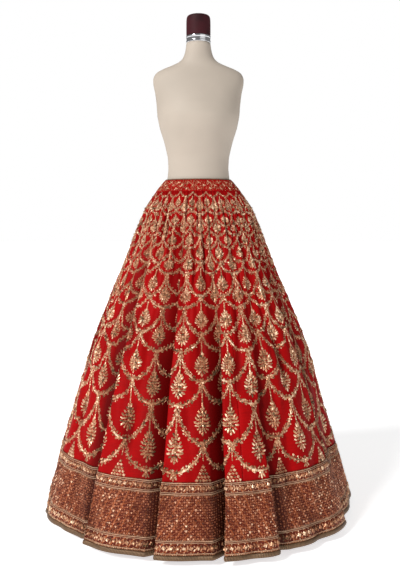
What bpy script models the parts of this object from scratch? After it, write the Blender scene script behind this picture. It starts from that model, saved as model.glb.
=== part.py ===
"""A flared lehenga skirt standing on a limbless dress form.

Metres, +Z up, the front faces -Y. The origin is the middle of the stand's underside.
The skirt is a ring of tapered panels (kalis) hung from a waistband, with an embroidered
border of three bands and a piping laid on the panels round the hem.
"""

import math

import bmesh
import bpy
import numpy as np

OBJECT_NAME = "lehenga_skirt"

# Heights
WAIST_Z = 1.100
BAND_FOOT_Z = 1.060
UPPER_BAND_TOP_Z = 0.218
MAIN_BAND_TOP_Z = 0.186
LOWER_BAND_TOP_Z = 0.068
PIPING_TOP_Z = 0.033
HEM_Z = 0.020

# Cloth
GAP = 0.0003
PANEL_WALL = 0.0015
BAND_WALL = 0.0010
PIPING_WALL = 0.0012
WAISTBAND_WALL = 0.0025
WAIST_PIPING_RADIUS = 0.0018
KALI_COUNT = 11
MOTIFS_PER_KALI = 2
SEAM_SHIFT = 0.25 / (KALI_COUNT * MOTIFS_PER_KALI)  # seams run between two motif columns
FLARE_START_Z = 1.02
WAIST_SEGMENTS = 40

# Outline of the skirt with its folds smoothed out: height, half width, half depth
PROFILE = np.array(
    [
        (1.100, 0.1140, 0.0885),
        (1.060, 0.1470, 0.1190),
        (1.000, 0.1800, 0.1530),
        (0.930, 0.2080, 0.1840),
        (0.864, 0.2320, 0.2110),
        (0.780, 0.2660, 0.2480),
        (0.691, 0.3030, 0.2870),
        (0.547, 0.3620, 0.3500),
        (0.436, 0.3930, 0.3850),
        (0.326, 0.4230, 0.4190),
        (0.216, 0.4560, 0.4550),
        (0.105, 0.4890, 0.4880),
        (0.020, 0.5130, 0.5120),
    ]
)
# Heights at which the panels have a row of points, from the hem up
PANEL_ROWS = (
    HEM_Z, PIPING_TOP_Z, LOWER_BAND_TOP_Z, MAIN_BAND_TOP_Z, UPPER_BAND_TOP_Z,
    0.340, 0.470, 0.600, 0.740, 0.880, 1.000, BAND_FOOT_Z,
)

# Folds round the hem. Angle is in degrees from the front centre, positive towards +X. The
# pocket goes in by depth and sideways by lean, under the lobe that lies on top, whose edge
# stands out by step. Mouth is half the pocket's width, and the fold dies away at top_z.
#          angle   depth   lean    mouth  step   top_z
FOLDS = (
    (-148.0, 0.056, -0.040, 0.018, 0.010, 0.93),
    (-106.0, 0.054, 0.042, 0.019, 0.009, 0.88),
    (-74.0, 0.060, 0.048, 0.018, 0.010, 0.92),
    (-42.0, 0.064, 0.052, 0.018, 0.015, 0.98),
    (-15.5, 0.060, 0.048, 0.018, 0.009, 1.00),
    (6.5, 0.058, 0.050, 0.018, 0.009, 0.86),
    (28.5, 0.016, -0.010, 0.026, 0.008, 0.80),
    (63.0, 0.064, -0.052, 0.018, 0.014, 0.95),
    (97.0, 0.054, -0.042, 0.019, 0.009, 0.90),
    (126.0, 0.060, 0.046, 0.018, 0.011, 0.97),
    (154.0, 0.052, 0.040, 0.019, 0.008, 0.86),
    (183.0, 0.062, -0.048, 0.018, 0.011, 0.94),
)
# Where a fold has its columns of points, in half widths of the fold, on the leaning side +
FOLD_COLUMNS = (-1.0, -0.45, -0.10, 0.25, 0.62, 0.92)
LONG_LOBE = 0.16
NEAR_COLUMN = 0.0012
FOLD_GROWTH = 0.8
FOLD_SAMPLES = 41
# Steps for measuring the cloth's directions: fraction of the way round and metres up
STEP_ROUND = 2e-4
STEP_UP = 1e-3

# Dress form: height, half width, half depth, offset towards the back
TORSO = (
    (0.785, 0.1200, 0.0800, 0.006),
    (0.790, 0.1500, 0.1050, 0.006),
    (0.815, 0.1660, 0.1180, 0.008),
    (0.880, 0.1720, 0.1240, 0.010),
    (0.940, 0.1680, 0.1200, 0.010),
    (1.000, 0.1500, 0.1050, 0.008),
    (1.050, 0.1260, 0.0900, 0.004),
    (1.100, 0.1080, 0.0810, 0.000),
    (1.140, 0.1035, 0.0780, -0.002),
    (1.180, 0.1055, 0.0810, -0.004),
    (1.230, 0.1170, 0.0930, -0.008),
    (1.280, 0.1330, 0.1080, -0.013),
    (1.320, 0.1410, 0.1150, -0.015),
    (1.360, 0.1440, 0.1090, -0.010),
    (1.400, 0.1490, 0.0960, -0.002),
    (1.430, 0.1560, 0.0840, 0.004),
    (1.455, 0.1580, 0.0740, 0.008),
    (1.475, 0.1480, 0.0640, 0.010),
    (1.488, 0.1240, 0.0560, 0.010),
    (1.500, 0.0930, 0.0500, 0.009),
    (1.511, 0.0680, 0.0465, 0.007),
    (1.526, 0.0530, 0.0440, 0.005),
    (1.548, 0.0455, 0.0425, 0.002),
    (1.577, 0.0415, 0.0415, 0.000),
)
TORSO_SEGMENTS = 32
TORSO_FOOT_Z = TORSO[0][0]
NECK_TOP_Z = TORSO[-1][0]
SHARPER_THAN = math.radians(50)
RING_HEIGHT = 0.024
RING_RADIUS = 0.0425
RING_ROUND = 0.003
CAP_RADIUS = 0.0420
CAP_TOP_Z = 1.676
# Shoulder of the neck's cap: share of its radius, and how far below its top
CAP_SHOULDER = ((0.6, 0.001), (0.85, 0.005), (0.96, 0.012), (1.0, 0.022))
CAP_FOOT_SHARE = 0.97
CAP_FOOT_RISE = 0.002
TURN_STEPS = 32
AXIS_MERGE = 0.0001

# Stand
POLE_RADIUS = 0.016
BASE_RADIUS = 0.190
BASE_HEIGHT = 0.014
BASE_EDGE = 0.004
BASE_STEPS = 48

# name: colour, roughness, metallic
FINISHES = {
    "silk": ((0.46, 0.010, 0.014), 0.55, 0.0),
    "border": ((0.33, 0.12, 0.07), 0.50, 0.3),
    "edging": ((0.30, 0.22, 0.12), 0.45, 0.5),
    "form": ((0.62, 0.56, 0.46), 0.65, 0.0),
    "cap": ((0.06, 0.008, 0.010), 0.60, 0.0),
    "chrome": ((0.75, 0.75, 0.76), 0.18, 1.0),
    "stand": ((0.10, 0.10, 0.11), 0.40, 0.8),
}


def finish(name):
    material = bpy.data.materials.get(name)
    if material is None:
        material = bpy.data.materials.new(name)
        material.use_nodes = True
        shader = material.node_tree.nodes["Principled BSDF"]
        colour, roughness, metallic = FINISHES[name]
        shader.inputs["Base Color"].default_value = (*colour, 1.0)
        shader.inputs["Roughness"].default_value = roughness
        shader.inputs["Metallic"].default_value = metallic
    return material


def place(name, mesh, finish_name, collection):
    """Adds a mesh to the collection as the object of that name."""
    mesh.materials.clear()
    mesh.materials.append(finish(finish_name))
    mesh.shade_smooth()
    obj = bpy.data.objects.new(name, mesh)
    collection.objects.link(obj)
    return obj


# ---------------------------------------------------------------- the skirt's surface


def ellipse_at(height):
    """(half width, half depth) of the smoothed skirt at a height."""
    rising = PROFILE[::-1]
    return (
        np.interp(height, rising[:, 0], rising[:, 1]),
        np.interp(height, rising[:, 0], rising[:, 2]),
    )


def fold_length(depth, lean, mouth):
    """Length of cloth from one side of a fold's mouth to the other."""
    x = np.linspace(-1.0, 1.0, FOLD_SAMPLES)
    inward = np.cos(math.pi * x / 2) ** 2
    across = mouth * x + lean * inward
    return np.hypot(np.diff(across), np.diff(depth * inward)).sum()


def lay_out_hem():
    """Shares the hem's cloth out between folds and lobes.

    Returns the folds' middles and half widths as fractions of the way round, and the pairs
    (fraction, angle) between which the angle grows evenly, both from the front centre.
    """
    radius = float(np.mean(ellipse_at(HEM_Z)))
    fractions, angles, middles, halves = [], [], [], []
    run = 0.0
    reach = None
    for angle, depth, lean, mouth, _, _ in FOLDS:
        start = math.radians(angle) - mouth / radius
        if reach is not None:
            run += (start - reach) * radius
        fractions.append(run)
        angles.append(start)
        length = fold_length(depth, lean, mouth)
        middles.append(run + length / 2)
        halves.append(length / 2)
        run += length
        reach = math.radians(angle) + mouth / radius
        fractions.append(run)
        angles.append(reach)
    fractions.append(run + (angles[0] + 2 * math.pi - reach) * radius)
    angles.append(angles[0] + 2 * math.pi)
    total = fractions[-1]
    front = np.interp(0.0, angles, fractions)
    fractions = (np.array(fractions) - front) / total
    middles = (np.array(middles) - front) / total
    return middles, np.array(halves) / total, fractions, np.array(angles), total


FOLD_MIDDLES, FOLD_HALVES, HEM_FRACTIONS, HEM_ANGLES, HEM_LENGTH = lay_out_hem()


def hem_angle(fraction):
    """The angle at the hem of a place that is this fraction of the cloth from the front."""
    turns = np.floor(fraction - HEM_FRACTIONS[0])
    return np.interp(fraction - turns, HEM_FRACTIONS, HEM_ANGLES) + 2 * math.pi * turns


def growth(height, top):
    """How far a fold has opened at a height: 0 at its top and 1 at the hem."""
    return np.clip((top - height) / (top - HEM_Z), 0.0, 1.0) ** FOLD_GROWTH


def cloth_point(fraction, height):
    """A point of the panels' outer face."""
    half_width, half_depth = ellipse_at(height)
    spread = growth(height, FLARE_START_Z)
    angle = (1 - spread) * 2 * math.pi * fraction + spread * hem_angle(fraction)
    out = across = 0.0
    for row, middle, half in zip(FOLDS, FOLD_MIDDLES, FOLD_HALVES):
        _, depth, lean, _, step, top = row
        away = (fraction - middle + 0.5) % 1.0 - 0.5
        x = away / half
        opened = growth(height, top)
        inward = np.where(abs(x) < 1.0, np.cos(math.pi * x / 2) ** 2, 0.0)
        swell = x * np.exp(-(x**2) / 4) * math.copysign(step, lean)
        out += opened * (swell - depth * inward)
        across += opened * lean * inward
    normal = np.array([math.sin(angle) / half_width, -math.cos(angle) / half_depth])
    normal /= np.linalg.norm(normal)
    side = np.array([-normal[1], normal[0]])
    middle = np.array([half_width * math.sin(angle), -half_depth * math.cos(angle)])
    flat = middle + out * normal + across * side
    return np.array([flat[0], flat[1], height])


def cloth_directions(fraction, height):
    """Unit vectors along the cloth, to the right, and straight out of it."""
    left, right = fraction - STEP_ROUND, fraction + STEP_ROUND
    along = cloth_point(right, height) - cloth_point(left, height)
    up = cloth_point(fraction, height + STEP_UP) - cloth_point(fraction, height - STEP_UP)
    normal = np.cross(along, up)
    return along / np.linalg.norm(along), normal / np.linalg.norm(normal)


def seam_fractions():
    """Where the panels' seams are, as fractions of the way round from the front centre."""
    return [(number + 0.5) / KALI_COUNT + SEAM_SHIFT for number in range(KALI_COUNT)]


def column_fractions():
    """Columns of points round the skirt: on each seam, on each fold and along each lobe."""
    columns = list(np.mod(seam_fractions(), 1.0))
    wanted = []
    count = len(FOLDS)
    for number in range(count):
        lean = FOLDS[number][2]
        middle, half = FOLD_MIDDLES[number], FOLD_HALVES[number]
        wanted += [middle + math.copysign(half, lean) * x for x in FOLD_COLUMNS]
        start = middle + half
        end = FOLD_MIDDLES[(number + 1) % count] - FOLD_HALVES[(number + 1) % count]
        length = (end - start) % 1.0
        parts = 3 if length * HEM_LENGTH > LONG_LOBE else 2
        wanted += [start + length * part / parts for part in range(1, parts)]
    for column in np.mod(wanted, 1.0):
        away = (np.array(columns) - column + 0.5) % 1.0 - 0.5
        if min(abs(away)) > NEAR_COLUMN:
            columns.append(column)
    return np.sort(columns)


# ---------------------------------------------------------------- cloth pieces


def wall_mesh(name, columns, rows, lifts, closed):
    """A wall that follows the skirt's surface.

    Columns are (fraction round, trim) pairs and rows are (height, trim) pairs, where the
    trim draws an edge back from its seam. Lifts are how far the wall's inner and outer
    faces stand out from the panels' outer face.
    """
    bm = bmesh.new()
    inner, outer = [], []
    for height, drop in rows:
        lines = [], []
        for column, shift in columns:
            along, normal = cloth_directions(column, height)
            point = cloth_point(column, height + drop) + shift * along
            for line, lift in zip(lines, lifts):
                line.append(bm.verts.new(point + lift * normal))
        inner.append(lines[0])
        outer.append(lines[1])
    count, top = len(columns), len(rows) - 1
    for i in range(count if closed else count - 1):
        j = (i + 1) % count
        for k in range(top):
            bm.faces.new((outer[k][i], outer[k][j], outer[k + 1][j], outer[k + 1][i]))
            bm.faces.new((inner[k][i], inner[k + 1][i], inner[k + 1][j], inner[k][j]))
        bm.faces.new((inner[0][i], inner[0][j], outer[0][j], outer[0][i]))
        bm.faces.new((outer[top][i], outer[top][j], inner[top][j], inner[top][i]))
    if not closed:
        for k in range(top):
            bm.faces.new((inner[k][0], outer[k][0], outer[k + 1][0], inner[k + 1][0]))
            bm.faces.new((outer[k][-1], inner[k][-1], inner[k + 1][-1], outer[k + 1][-1]))
    bmesh.ops.triangulate(bm, faces=bm.faces, quad_method="FIXED")
    mesh = bpy.data.meshes.new(name)
    bm.to_mesh(mesh)
    bm.free()
    return mesh


def add_kalis(collection):
    """The tapered panels, a seam's gap apart."""
    columns = column_fractions()
    rows = [(height, 0.0) for height in PANEL_ROWS[:-1]] + [(PANEL_ROWS[-1], -GAP)]
    for number, start in enumerate(seam_fractions()):
        end = start + 1.0 / KALI_COUNT
        inside = np.sort(start + np.mod(columns - start, 1.0))
        inside = inside[(inside > start + NEAR_COLUMN) & (inside < end - NEAR_COLUMN)]
        fractions = [(start, GAP / 2), *((at, 0.0) for at in inside), (end, -GAP / 2)]
        mesh = wall_mesh("kali", fractions, rows, (-PANEL_WALL, 0.0), closed=False)
        place(f"kali_{number + 1:02d}", mesh, "silk", collection)


def add_border(collection):
    """The border's bands and the piping, laid on the panels round the hem."""
    bands = (
        ("border_upper_band", MAIN_BAND_TOP_Z, UPPER_BAND_TOP_Z, BAND_WALL, "border"),
        ("border_main_band", LOWER_BAND_TOP_Z, MAIN_BAND_TOP_Z, BAND_WALL, "border"),
        ("border_lower_band", PIPING_TOP_Z, LOWER_BAND_TOP_Z, BAND_WALL, "border"),
        ("hem_piping", HEM_Z, PIPING_TOP_Z, PIPING_WALL, "edging"),
    )
    columns = [(column, 0.0) for column in column_fractions()]
    for name, foot, top, thickness, finish_name in bands:
        rows = ((foot, 0.0 if foot == HEM_Z else GAP / 2), (top, -GAP / 2))
        mesh = wall_mesh(name, columns, rows, (GAP, GAP + thickness), closed=True)
        place(name, mesh, finish_name, collection)


def ring_of_verts(bm, half_width, half_depth, height, offset, segments):
    """One elliptical ring of points."""
    made = bmesh.ops.create_circle(bm, segments=segments, radius=1.0)
    bmesh.ops.scale(bm, vec=(half_width, half_depth, 1.0), verts=made["verts"])
    bmesh.ops.translate(bm, vec=(0.0, offset, height), verts=made["verts"])
    return made["verts"]


def edges_between(bm, verts):
    chosen = set(verts)
    return [edge for edge in bm.edges if set(edge.verts) <= chosen]


def bridged(bm, first, second):
    loops = edges_between(bm, first) + edges_between(bm, second)
    bmesh.ops.bridge_loops(bm, edges=loops)


def add_waistband(collection):
    """The shaped waistband and the piping along its top edge."""
    bm = bmesh.new()
    rings = []
    for height, inset in (
        (BAND_FOOT_Z, 0.0),
        (WAIST_Z, 0.0),
        (WAIST_Z, WAISTBAND_WALL),
        (BAND_FOOT_Z, WAISTBAND_WALL),
    ):
        half_width, half_depth = ellipse_at(height)
        sizes = (half_width - inset, half_depth - inset)
        rings.append(ring_of_verts(bm, *sizes, height, 0.0, WAIST_SEGMENTS))
    for number in range(4):
        bridged(bm, rings[number], rings[(number + 1) % 4])
    bmesh.ops.recalc_face_normals(bm, faces=bm.faces)
    mesh = bpy.data.meshes.new("waistband")
    bm.to_mesh(mesh)
    bm.free()
    place("waistband", mesh, "silk", collection)

    curve = bpy.data.curves.new("waist_piping", "CURVE")
    curve.dimensions = "3D"
    curve.bevel_depth = WAIST_PIPING_RADIUS
    curve.bevel_resolution = 1
    spline = curve.splines.new("POLY")
    spline.points.add(WAIST_SEGMENTS - 1)
    spline.use_cyclic_u = True
    half_width, half_depth = ellipse_at(WAIST_Z)
    inset = WAISTBAND_WALL / 2
    height = WAIST_Z + GAP + WAIST_PIPING_RADIUS
    for number, point in enumerate(spline.points):
        angle = 2 * math.pi * number / WAIST_SEGMENTS
        x = (half_width - inset) * math.sin(angle)
        y = (half_depth - inset) * math.cos(angle)
        point.co = (x, y, height, 1.0)
    curve.materials.append(finish("edging"))
    collection.objects.link(bpy.data.objects.new("waist_piping", curve))


# ---------------------------------------------------------------- dress form and stand


def add_torso(collection):
    """The limbless form from the hips to the neck, as one closed loft of its sections."""
    bm = bmesh.new()
    rings = [
        ring_of_verts(bm, half_width, half_depth, height, offset, TORSO_SEGMENTS)
        for height, half_width, half_depth, offset in TORSO
    ]
    for lower, upper in zip(rings, rings[1:]):
        bridged(bm, lower, upper)
    bmesh.ops.contextual_create(bm, geom=edges_between(bm, rings[0]))
    bmesh.ops.contextual_create(bm, geom=edges_between(bm, rings[-1]))
    bmesh.ops.recalc_face_normals(bm, faces=bm.faces)
    mesh = bpy.data.meshes.new("form_torso")
    bm.to_mesh(mesh)
    bm.free()
    obj = place("form_torso", mesh, "form", collection)
    obj.data.set_sharp_from_angle(angle=SHARPER_THAN)


def add_turned(name, profile, finish_name, collection, steps=TURN_STEPS):
    """A turned solid from its profile of (radius, height), listed from the top down."""
    bm = bmesh.new()
    verts = [bm.verts.new((radius, 0.0, height)) for radius, height in profile]
    for upper, lower in zip(verts, verts[1:]):
        bm.edges.new((upper, lower))
    mesh = bpy.data.meshes.new(name)
    bm.to_mesh(mesh)
    bm.free()
    obj = place(name, mesh, finish_name, collection)
    screw = obj.modifiers.new("turned", "SCREW")
    screw.axis = "Z"
    screw.steps = steps
    screw.render_steps = steps
    screw.use_merge_vertices = True
    screw.merge_threshold = AXIS_MERGE
    return obj


def add_neck(collection):
    """The bright ring round the top of the neck and the dark cap over it."""
    foot = NECK_TOP_Z + GAP
    top = foot + RING_HEIGHT
    ring = (
        (0.0, top),
        (RING_RADIUS - RING_ROUND, top),
        (RING_RADIUS, top - RING_ROUND),
        (RING_RADIUS, foot + RING_ROUND),
        (RING_RADIUS - RING_ROUND, foot),
        (0.0, foot),
    )
    add_turned("form_neck_ring", ring, "chrome", collection)
    foot = top + GAP
    cap = (
        (0.0, CAP_TOP_Z),
        *((share * CAP_RADIUS, CAP_TOP_Z - drop) for share, drop in CAP_SHOULDER),
        (CAP_RADIUS, foot + CAP_FOOT_RISE),
        (CAP_FOOT_SHARE * CAP_RADIUS, foot),
        (0.0, foot),
    )
    add_turned("form_neck_cap", cap, "cap", collection)


def add_stand(collection):
    """The pole and the round base, hidden inside the skirt."""
    pole_foot = BASE_HEIGHT + GAP
    pole_top = TORSO_FOOT_Z - GAP
    pole = (
        (0.0, pole_top),
        (POLE_RADIUS, pole_top),
        (POLE_RADIUS, pole_foot),
        (0.0, pole_foot),
    )
    add_turned("stand_pole", pole, "stand", collection)
    base = (
        (0.0, BASE_HEIGHT),
        (BASE_RADIUS - 2 * BASE_EDGE, BASE_HEIGHT),
        (BASE_RADIUS - BASE_EDGE, BASE_HEIGHT - BASE_EDGE / 4),
        (BASE_RADIUS, BASE_HEIGHT - BASE_EDGE),
        (BASE_RADIUS, 0.0),
        (0.0, 0.0),
    )
    add_turned("stand_base", base, "stand", collection, steps=BASE_STEPS)


def main():
    for obj in list(bpy.data.objects):
        bpy.data.objects.remove(obj)
    collection = bpy.data.collections.new(OBJECT_NAME)
    bpy.context.scene.collection.children.link(collection)
    add_kalis(collection)
    add_border(collection)
    add_waistband(collection)
    add_torso(collection)
    add_neck(collection)
    add_stand(collection)


main()
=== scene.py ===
"""A lehenga skirt on a limbless dress form: silk panels, a bordered hem, raised gold embroidery
and a plain studio."""

import math

import bmesh
import bpy
import numpy as np
from bpy.props import FloatProperty, FloatVectorProperty, IntProperty, PointerProperty
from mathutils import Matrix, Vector


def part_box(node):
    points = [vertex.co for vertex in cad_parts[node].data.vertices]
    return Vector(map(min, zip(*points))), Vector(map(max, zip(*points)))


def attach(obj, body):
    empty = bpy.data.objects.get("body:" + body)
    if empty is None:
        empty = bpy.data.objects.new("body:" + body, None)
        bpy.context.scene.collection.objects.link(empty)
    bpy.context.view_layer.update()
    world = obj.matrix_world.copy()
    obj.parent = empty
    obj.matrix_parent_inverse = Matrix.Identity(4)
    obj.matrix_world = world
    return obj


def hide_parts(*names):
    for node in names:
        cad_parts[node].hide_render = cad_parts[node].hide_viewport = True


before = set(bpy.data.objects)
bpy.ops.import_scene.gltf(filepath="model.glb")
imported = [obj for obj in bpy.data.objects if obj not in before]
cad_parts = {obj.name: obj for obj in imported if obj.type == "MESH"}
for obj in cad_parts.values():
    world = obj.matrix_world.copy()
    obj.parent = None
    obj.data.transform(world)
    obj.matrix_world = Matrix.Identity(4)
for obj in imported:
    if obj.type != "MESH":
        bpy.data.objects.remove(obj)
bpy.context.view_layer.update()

bl_info = {
    "name": "Lehenga skirt",
    "version": (1, 0, 0),
    "blender": (4, 5, 0),
    "location": "View3D > Sidebar > Lehenga",
    "description": "Builds an embroidered lehenga skirt on a dress form, piece by piece",
    "category": "Object",
}

WHOLE_TURN = 2 * math.pi
WHITE = (1.0, 1.0, 1.0, 1.0)

# ---------------------------------------------------------------- sizes shared with the solids

WAIST_Z = 1.100
BAND_FOOT_Z = 1.060
UPPER_BAND_TOP_Z = 0.218
MAIN_BAND_TOP_Z = 0.186
LOWER_BAND_TOP_Z = 0.068
PIPING_TOP_Z = 0.033
HEM_Z = 0.020
GAP = 0.0003
PANEL_WALL = 0.0015
BAND_WALL = 0.0010
WAISTBAND_WALL = 0.0025
WAIST_PIPING_RADIUS = 0.0018
KALI_COUNT = 11
REPEATS = 22
SEAM_SHIFT = 0.25 / REPEATS
FLARE_START_Z = 1.02
FOLD_GROWTH = 0.8

# Cloth as cut: width or length along the piece, then height, in metres
WAIST_LENGTH = 0.64

# Outline of the skirt with its folds smoothed out: height, half width, half depth
PROFILE = np.array(
    [
        (1.100, 0.1140, 0.0885),
        (1.060, 0.1470, 0.1190),
        (1.000, 0.1800, 0.1530),
        (0.930, 0.2080, 0.1840),
        (0.864, 0.2320, 0.2110),
        (0.780, 0.2660, 0.2480),
        (0.691, 0.3030, 0.2870),
        (0.547, 0.3620, 0.3500),
        (0.436, 0.3930, 0.3850),
        (0.326, 0.4230, 0.4190),
        (0.216, 0.4560, 0.4550),
        (0.105, 0.4890, 0.4880),
        (0.020, 0.5130, 0.5120),
    ]
)[::-1]

# Folds round the hem: angle in degrees from the front, then the pocket's depth, lean and
# half mouth, how far the lobe on top steps out, and the height where the fold dies away
FOLDS = (
    (-148.0, 0.056, -0.040, 0.018, 0.010, 0.93),
    (-106.0, 0.054, 0.042, 0.019, 0.009, 0.88),
    (-74.0, 0.060, 0.048, 0.018, 0.010, 0.92),
    (-42.0, 0.064, 0.052, 0.018, 0.015, 0.98),
    (-15.5, 0.060, 0.048, 0.018, 0.009, 1.00),
    (6.5, 0.058, 0.050, 0.018, 0.009, 0.86),
    (28.5, 0.016, -0.010, 0.026, 0.008, 0.80),
    (63.0, 0.064, -0.052, 0.018, 0.014, 0.95),
    (97.0, 0.054, -0.042, 0.019, 0.009, 0.90),
    (126.0, 0.060, 0.046, 0.018, 0.011, 0.97),
    (154.0, 0.052, 0.040, 0.019, 0.008, 0.86),
    (183.0, 0.062, -0.048, 0.018, 0.011, 0.94),
)

# Dress form: height, half width, half depth, offset towards the back
TORSO = (
    (0.785, 0.1200, 0.0800, 0.006),
    (0.790, 0.1500, 0.1050, 0.006),
    (0.815, 0.1660, 0.1180, 0.008),
    (0.880, 0.1720, 0.1240, 0.010),
    (0.940, 0.1680, 0.1200, 0.010),
    (1.000, 0.1500, 0.1050, 0.008),
    (1.050, 0.1260, 0.0900, 0.004),
    (1.100, 0.1080, 0.0810, 0.000),
    (1.140, 0.1035, 0.0780, -0.002),
    (1.180, 0.1055, 0.0810, -0.004),
    (1.230, 0.1170, 0.0930, -0.008),
    (1.280, 0.1330, 0.1080, -0.013),
    (1.320, 0.1410, 0.1150, -0.015),
    (1.360, 0.1440, 0.1090, -0.010),
    (1.400, 0.1490, 0.0960, -0.002),
    (1.430, 0.1560, 0.0840, 0.004),
    (1.455, 0.1580, 0.0740, 0.008),
    (1.475, 0.1480, 0.0640, 0.010),
    (1.488, 0.1240, 0.0560, 0.010),
    (1.500, 0.0930, 0.0500, 0.009),
    (1.511, 0.0680, 0.0465, 0.007),
    (1.526, 0.0530, 0.0440, 0.005),
    (1.548, 0.0455, 0.0425, 0.002),
    (1.577, 0.0415, 0.0415, 0.000),
)
TORSO_SMOOTHING = 0.014
TORSO_ROWS = 84

# ---------------------------------------------------------------- sizes of the finish alone

# Soft flutes between the folds: how many go round, where they start, how far they drift in
# a metre of height, and their depths at the heights of FLUTE_HEIGHTS
FLUTE_HEIGHTS = (0.02, 0.30, 0.60, 0.85, 1.00, 1.06)
FLUTES = (
    (19, 0.31, 0.10, (0.0130, 0.0130, 0.0090, 0.0030, 0.0008, 0.0)),
    (31, 0.74, -0.06, (0.0090, 0.0110, 0.0110, 0.0070, 0.0016, 0.0)),
    (47, 0.12, 0.04, (0.0020, 0.0040, 0.0080, 0.0090, 0.0048, 0.0006)),
    (66, 0.55, -0.03, (0.0, 0.0004, 0.0032, 0.0070, 0.0074, 0.0016)),
    (91, 0.90, 0.02, (0.0, 0.0, 0.0006, 0.0028, 0.0050, 0.0022)),
)
FLUTE_POWER = 2.6
# Painted shade laid into the flutes' troughs, at its darkest
FLUTE_PAINTED_SHADE = 0.85
SMOOTHING = 0.022

# How far below the border's top the panels take its colour, how far their seams dip and over
# what width, and how far they tuck in behind the border
BACKING_DROP = 0.003
SEAM_DIP = 0.0006
SEAM_WIDTH = 0.004
TUCK = 0.0005
TUCK_RISE = 0.004
WAISTBAND_LIFT = 0.0006

# Faces across and up a panel, once round the border and once round the waistband
PANEL_GRID = (72, 54)
ROUND_HEM = 1100
ROUND_WAIST = 264

# Bottoms of the garlands, from the waist down. The second column of motifs stands half a
# repeat over from the first and takes its turn in between. The pieces take the rows by turns
# from the waist down.
FIRST_BOTTOMS = (1.042, 0.983, 0.913, 0.828, 0.728, 0.619, 0.485, 0.318)
SECOND_BOTTOMS = (1.001, 0.943, 0.874, 0.794, 0.6935, 0.569, 0.4196, 0.241)
PATTERN_SHIFT = 0.004
TOP_OF_GARLANDS = 1.061
FULLER_AT_WAIST = 0.45
SWAG_POWER = 0.68
ROPE_LENGTH = 1.35
GARLAND_CHIPS = 6
GARLAND_PIECES = (("garlands_top", 0, 6), ("garlands_middle", 6, 11), ("garlands_low", 11, 16))

# Rows of a bouquet from its tip down: height in half heights, half width in half widths and
# how far the row's outer leaves lean out, in degrees
BOUQUET = (
    (0.98, 0.00, 0),
    (0.76, 0.20, 16),
    (0.52, 0.40, 26),
    (0.28, 0.60, 34),
    (0.04, 0.76, 44),
    (-0.20, 0.84, 62),
    (-0.44, 0.80, 86),
    (-0.66, 0.60, 118),
    (-0.84, 0.32, 148),
    (-1.02, 0.00, 180),
)
BOUQUET_FLOWERS = ((0.0, -0.30), (-0.36, 0.02), (0.36, 0.02), (0.0, 0.36))
CHIP_PITCH = 0.24

# The waistband's embroidery: heights of the rows of sprigs, how far a sprig's leaves stand from
# its flower, and the loose chips of thread
SPRIG_ROWS = (1.0695, 1.0800, 1.0905)
SPRIG_REACH = 0.0052
WAIST_CHIPS = 2600

# The border's bands: node, foot, top, faces up and the strip as cut
BANDS = (
    ("border_upper_band", MAIN_BAND_TOP_Z + GAP, UPPER_BAND_TOP_Z, 2, (3.90, 0.032)),
    ("border_main_band", LOWER_BAND_TOP_Z + GAP, MAIN_BAND_TOP_Z, 8, (4.17, 0.118)),
    ("border_lower_band", PIPING_TOP_Z + GAP, LOWER_BAND_TOP_Z, 2, (4.45, 0.035)),
)
BORDER_LIFT = GAP + BAND_WALL
BORDER_PITCH = 0.0131
BORDER_COLUMNS = 318

# The border's flower rows: height, flower's radius, flowers round and leaf's length
FLOWER_ROWS = (
    ((UPPER_BAND_TOP_Z + MAIN_BAND_TOP_Z) / 2, 0.0066, 250, 0.0042),
    (0.0508, 0.0074, 232, 0.0046),
)

# The border's rows of beads: height, radius and beads round
BEAD_ROWS = (
    (PIPING_TOP_Z + 0.0022, 0.0019, 900),
    (MAIN_BAND_TOP_Z - 0.0030, 0.0014, 900),
    (LOWER_BAND_TOP_Z + 0.0030, 0.0014, 900),
)

# The border's raised cords: height and radius
CORDS = (
    (0.2150, 0.0011),
    (0.2105, 0.0008),
    (0.1900, 0.0008),
    (0.1858, 0.0011),
    (0.0680, 0.0011),
    (0.0640, 0.0008),
    (0.0375, 0.0009),
)
CORD_LAY = 0.0042
CORD_GIRTH = 0.009
FINE_CORD_LAY = 0.0034

# The stepped clusters on the border's top edge: flowers in each row, their pitch across and
# up, and the leaves that top them
CLUSTER_ROWS = (5, 4, 3, 2, 1)
CLUSTER_PITCH = (0.0098, 0.0092)
CLUSTER_LEAVES = 5
CLUSTER_LEAF_FOOT = 0.058
CLUSTER_LEAF_PITCH = 0.0085

# The thread's tint: how uneven it is, and how much painted shade darkens it inside a fold
UNEVEN_TINT = 0.30
PAINTED_SHADE_TINT = 0.75
SEED = 7


# ---------------------------------------------------------------- the skirt's surface


def softened(table, positions, reach):
    """Columns of a table at the positions in its first column, with its corners rounded."""
    step = 0.001
    first, last = table[0, 0], table[-1, 0]
    dense = np.arange(first - 2 * reach, last + 2 * reach, step)
    window = np.hanning(2 * int(reach / step) + 1)
    window /= window.sum()
    columns = []
    for number in range(1, table.shape[1]):
        values = np.interp(dense, table[:, 0], table[:, number])
        for end, other in ((0, 1), (-1, -2)):
            slope = (table[end, number] - table[other, number]) / (table[end, 0] - table[other, 0])
            past = (dense < first) if end == 0 else (dense > last)
            values[past] = table[end, number] + slope * (dense[past] - table[end, 0])
        columns.append(np.interp(positions, dense, np.convolve(values, window, mode="same")))
    return columns


def fold_length(depth, lean, mouth):
    """Length of cloth from one side of a fold's mouth to the other."""
    x = np.linspace(-1.0, 1.0, 41)
    inward = np.cos(math.pi * x / 2) ** 2
    return np.hypot(np.diff(mouth * x + lean * inward), np.diff(depth * inward)).sum()


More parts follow.
